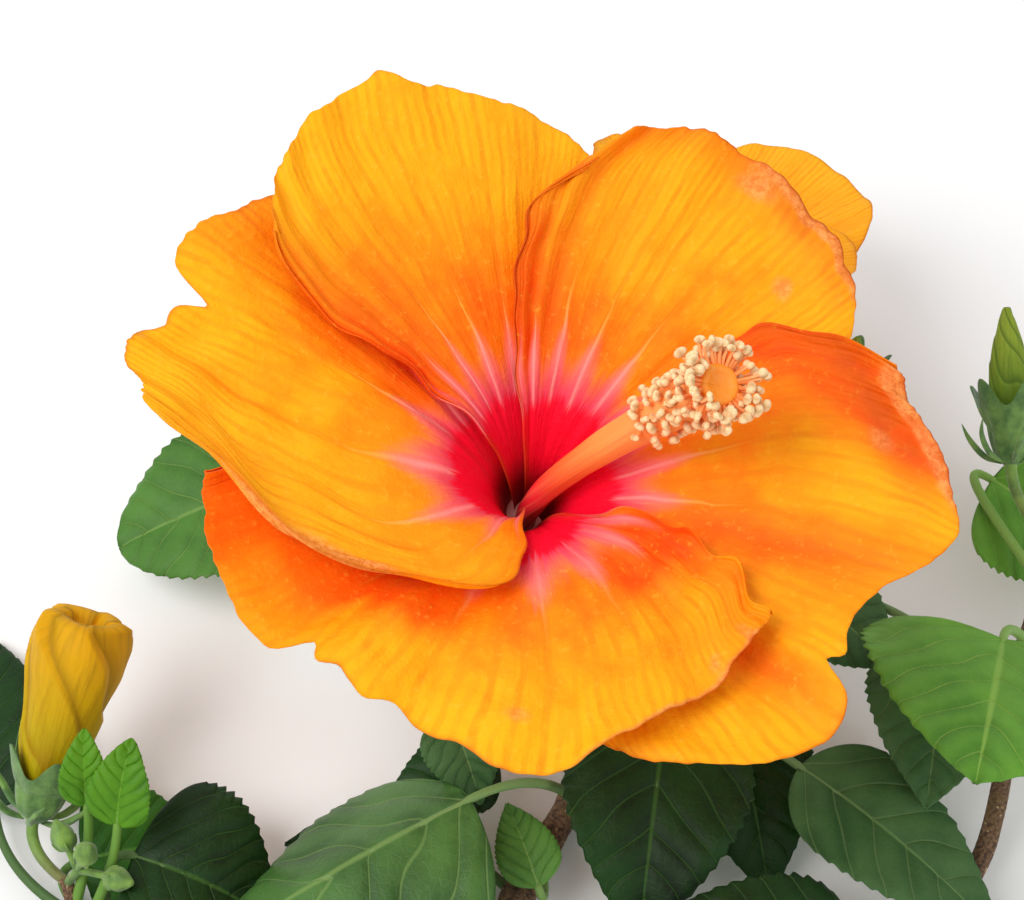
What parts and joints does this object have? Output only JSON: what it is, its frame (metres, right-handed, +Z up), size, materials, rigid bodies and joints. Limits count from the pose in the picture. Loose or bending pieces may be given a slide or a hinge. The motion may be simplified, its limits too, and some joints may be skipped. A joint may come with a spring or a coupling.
{
  "type": "cut hibiscus branch in flower",
  "caption": "Cut hibiscus branch lying on its side: woody shoots with toothed leaves and buds, a wide open golden bloom with a red throat, and a smaller bloom behind it.",
  "frame": {"origin": "middle of the branch seen from above, on the surface that it lies on", "axes": "+X to the right across the open bloom, +Y from the cut foot of the stem towards the second bloom, +Z up, the way the open bloom faces"},
  "size_m": [0.2404, 0.2137, 0.1243],
  "materials": {
    "wood": "matte",
    "leaf": "satin",
    "young_leaf": "satin",
    "petal": "matte",
    "column": "matte",
    "green": "satin",
    "bud": "satin"
  },
  "bodies": {
    "root": {"main_stem": "wood", "right_shoot": "wood", "left_shoot": "wood", "main_petal_upper_left": "petal", "main_petal_upper_right": "petal", "main_petal_right": "petal", "main_petal_lower": "petal", "main_petal_left": "petal", "main_column": "column", "main_calyx": "green", "main_pedicel": "green", "back_petal_right": "petal", "back_petal_upper_right": "petal", "back_petal_upper_left": "petal", "back_petal_lower_left": "petal", "back_petal_lower_right": "petal", "back_column": "column", "back_calyx": "green", "back_pedicel": "green", "leaf_left_outer": "leaf", "leaf_front_left": "leaf", "leaf_under_left": "leaf", "leaf_behind_left": "leaf", "leaf_inner_front": "leaf", "leaf_centre": "leaf", "leaf_centre_right": "leaf", "leaf_low_right": "leaf", "leaf_behind_right": "leaf", "leaf_right_under": "leaf", "leaf_middle_low": "leaf", "leaf_under_bloom": "leaf", "leaf_back_left": "leaf", "leaf_back_right": "leaf", "leaf_back_tip": "leaf", "leaf_front_right": "leaf", "leaf_right_front": "leaf", "leaf_right_outer": "leaf", "leaf_left_low": "leaf", "leaf_left_under": "leaf", "leaf_left_corner": "leaf", "leaf_left_back": "leaf", "leaf_young_right": "young_leaf", "leaf_young_left": "young_leaf", "rolled_bud": "bud", "rolled_bud_calyx": "green", "rolled_bud_stalk": "green", "right_bud": "green", "right_bud_calyx": "green", "right_bud_stalk": "green", "side_bud": "green", "side_bud_calyx": "green", "side_bud_stalk": "green", "small_buds": "green"}
  },
  "joints": []
}
